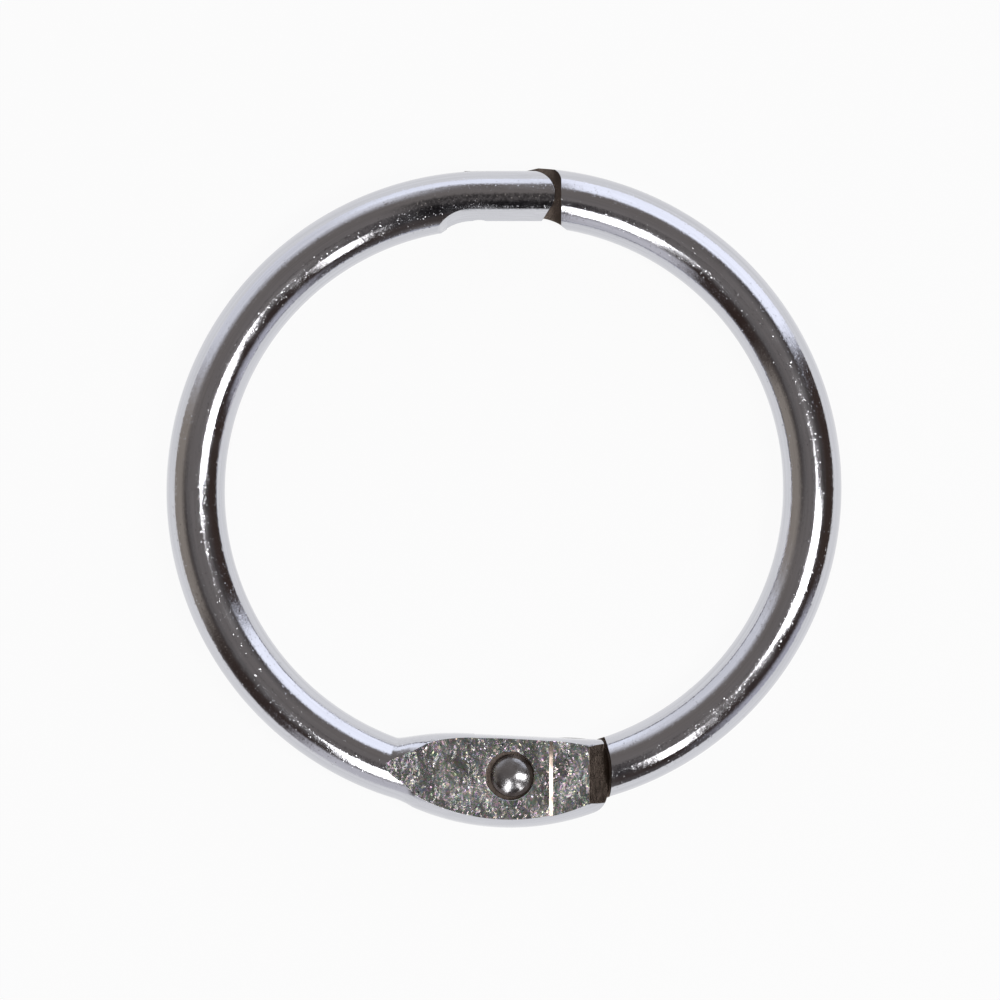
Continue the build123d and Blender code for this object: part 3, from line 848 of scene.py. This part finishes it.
# straight from above; the field is the width seen at the given height
view = {"centre": (-0.178, -0.078), "field": 44.44, "height": 1.3, "lens": 300.0, "sensor": 36.0, "clip": (0.01, 20)}
cameraData = bpy.data.cameras.new("camera")
cameraData.lens = view["lens"]
cameraData.sensor_width = view["sensor"]
cameraData.clip_start, cameraData.clip_end = view["clip"]
camera = bpy.data.objects.new("camera", cameraData)
distance = view["field"] * view["lens"] / view["sensor"]
camera.location = (view["centre"][0] * mm, view["centre"][1] * mm, (view["height"] + distance) * mm)
scene.collection.objects.link(camera)
scene.camera = camera

# white paper that shows near its full white whatever the lamps do; its size and drop are in metres
table = {
    "size": 3.0, "steps": (-1, -0.3, -0.05, 0.05, 0.3, 1), "drop": 0.00001,
    "colour": (0.86, 0.86, 0.875, 1), "fibres": 900.0, "fibreTone": 0.985,
    "glow": 0.93, "glowColour": (1, 1, 1, 1)}


def makeTable():
    bm = bmesh.new()
    places = [step * table["size"] for step in table["steps"]]
    rows = [[bm.verts.new((x, y, -table["drop"])) for x in places] for y in places]
    for a, b in zip(rows, rows[1:]):
        for k in range(len(a) - 1):
            bm.faces.new((a[k], a[k + 1], b[k + 1], b[k]))
    material = bpy.data.materials.new("whitePaper")
    material.use_nodes = True
    tree = material.node_tree
    tree.nodes.clear()
    coords = tree.nodes.new("ShaderNodeTexCoord")
    fibres = addNode(tree, "ShaderNodeTexNoise", Vector=coords.outputs["Object"], Scale=table["fibres"], Detail=4.0)
    shade = smoothRange(tree, fibres.outputs[0], 0.3, 0.7, table["fibreTone"], 1.0)
    paper = addNode(tree, "ShaderNodeBsdfDiffuse", Color=multiplied(tree, table["colour"], grey(tree, shade)))
    glow = addNode(tree, "ShaderNodeEmission", Color=table["glowColour"], Strength=1.0)
    path = tree.nodes.new("ShaderNodeLightPath")
    seen = math(tree, "MAXIMUM", path.outputs["Is Camera Ray"], path.outputs["Is Glossy Ray"])
    seen = math(tree, "MAXIMUM", seen, path.outputs["Is Transmission Ray"])
    mix = tree.nodes.new("ShaderNodeMixShader")
    tree.links.new(product(tree, seen, table["glow"]), mix.inputs[0])
    tree.links.new(paper.outputs[0], mix.inputs[1])
    tree.links.new(glow.outputs[0], mix.inputs[2])
    output = tree.nodes.new("ShaderNodeOutputMaterial")
    tree.links.new(mix.outputs[0], output.inputs["Surface"])
    meshObject("table", bm, [material])


makeTable()

# what the wire reflects: a dim room that is darkest at mid height, with light and dark panels laid one over another;
# a compass of 0 is towards +X and of 90 towards +Y, and a height of 90 is straight up
studio = {
    "heights": [
        # height, colour
        (-8, (0.50, 0.50, 0.53, 1)), (10, (0.17, 0.155, 0.15, 1)), (22, (0.075, 0.062, 0.058, 1)),
        (45, (0.065, 0.055, 0.052, 1)), (62, (0.15, 0.138, 0.134, 1)), (76, (0.2, 0.182, 0.174, 1))],
    "panels": [
        # compass, half width, softness, height, half height, softness, colour
        (112, 62, 14, 42, 30, 12, (0.2, 0.18, 0.168, 1)),
        (182, 24, 9, 12, 28, 12, (0.34, 0.30, 0.26, 1)),
        (222, 14, 8, 24, 22, 9, (0.042, 0.028, 0.024, 1)),
        (322, 30, 9, 28, 24, 10, (0.045, 0.032, 0.029, 1)),
        (325, 17, 10, 4, 17, 9, (0.55, 0.55, 0.62, 1)),
        (4, 24, 5, 12, 24, 8, (0.055, 0.038, 0.032, 1)),
        (298, 11, 5, 4, 12, 6, (0.09, 0.08, 0.08, 1)),
        (272, 22, 9, 66, 24, 7, (0.036, 0.032, 0.034, 1)),
        (248, 15, 6, 8, 25, 6, (0.72, 0.71, 0.75, 1)),
        (130, 28, 9, 4, 34, 13, (0.92, 0.93, 0.99, 1)),
        (97, 20, 8, 0, 23, 5, (1.2, 1.24, 1.36, 1)),
        (55, 27, 5, 10, 34, 5, (1.36, 1.40, 1.54, 1)),
    ],
}


def makePanelGroup():
    tree, inn, out = newGroup(
        "studioPanel",
        [("Compass", "NodeSocketFloat", 0.0), ("Height", "NodeSocketFloat", 0.0),
         ("At Compass", "NodeSocketFloat", 0.0), ("Half Width", "NodeSocketFloat", 10.0),
         ("Width Softness", "NodeSocketFloat", 2.0), ("At Height", "NodeSocketFloat", 0.0),
         ("Half Height", "NodeSocketFloat", 10.0), ("Height Softness", "NodeSocketFloat", 2.0)],
        [("Mask", "NodeSocketFloat")])
    turn = math(tree, "SUBTRACT", inn.outputs["Compass"], inn.outputs["At Compass"])
    turn = math(tree, "ABSOLUTE", math(tree, "WRAP", turn, 180.0, -180.0))
    lift = math(tree, "ABSOLUTE", math(tree, "SUBTRACT", inn.outputs["Height"], inn.outputs["At Height"]))
    masks = []
    for value, reach, softness in ((turn, "Half Width", "Width Softness"), (lift, "Half Height", "Height Softness")):
        outside = math(tree, "ADD", inn.outputs[reach], inn.outputs[softness])
        inside = math(tree, "SUBTRACT", inn.outputs[reach], inn.outputs[softness])
        masks.append(smoothRange(tree, value, outside, inside))
    tree.links.new(product(tree, *masks), out.inputs["Mask"])
    return tree


def makeStudio():
    world = bpy.data.worlds.new("studio")
    scene.world = world
    world.use_nodes = True
    tree = world.node_tree
    tree.nodes.clear()
    coords = tree.nodes.new("ShaderNodeTexCoord")
    direction = vectorMath(tree, "NORMALIZE", coords.outputs["Generated"])
    split = addNode(tree, "ShaderNodeSeparateXYZ", Vector=direction)
    compass = product(tree, math(tree, "ARCTAN2", split.outputs["Y"], split.outputs["X"]), 180 / pi)
    height = product(tree, math(tree, "ARCSINE", split.outputs["Z"]), 180 / pi)
    colour = studio["heights"][0][1]
    for (low, _), (high, after) in zip(studio["heights"], studio["heights"][1:]):
        colour = mixColour(tree, smoothRange(tree, height, low, high), colour, after)
    panel = makePanelGroup()
    for at, width, soft, atHeight, halfHeight, softHeight, shade in studio["panels"]:
        mask = useGroup(
            tree, panel, Compass=compass, Height=height, At_Compass=at, Half_Width=width, Width_Softness=soft,
            At_Height=atHeight, Half_Height=halfHeight, Height_Softness=softHeight)
        colour = mixColour(tree, mask.outputs[0], colour, shade)
    background = addNode(tree, "ShaderNodeBackground", Color=colour, Strength=1.0)
    output = tree.nodes.new("ShaderNodeOutputWorld")
    tree.links.new(background.outputs[0], output.inputs["Surface"])


makeStudio()

lamps = {
    # compass, height, then in metres distance, width and height of the panel, then its face's brightness and colour
    "rightLamp": (345, 61, 0.32, 0.065, 0.15, 8.0, (1.0, 0.985, 0.97)),
    "frontLeftLamp": (251, 52, 0.32, 0.07, 0.16, 4.5, (1.0, 0.99, 0.98)),
    "frontRightLamp": (301, 46, 0.32, 0.03, 0.15, 4.0, (1.0, 0.98, 0.96)),
}


def makeLamps():
    for name, (compass, height, distance, wide, tall, brightness, colour) in lamps.items():
        light = bpy.data.lights.new(name, "AREA")
        light.shape = "RECTANGLE"
        light.size = wide
        light.size_y = tall
        light.energy = brightness * pi * wide * tall  # watts for that brightness
        light.color = colour
        obj = bpy.data.objects.new(name, light)
        c, h = radians(compass), radians(height)
        toLamp = Vector((cos(h) * cos(c), cos(h) * sin(c), sin(h)))
        obj.location = toLamp * distance
        obj.rotation_mode = "QUATERNION"
        obj.rotation_quaternion = toLamp.to_track_quat("Z", "Y")
        obj.visible_camera = False
        scene.collection.objects.link(obj)


makeLamps()
scene.view_settings.view_transform = "Standard"
print("binder ring: studio ready")
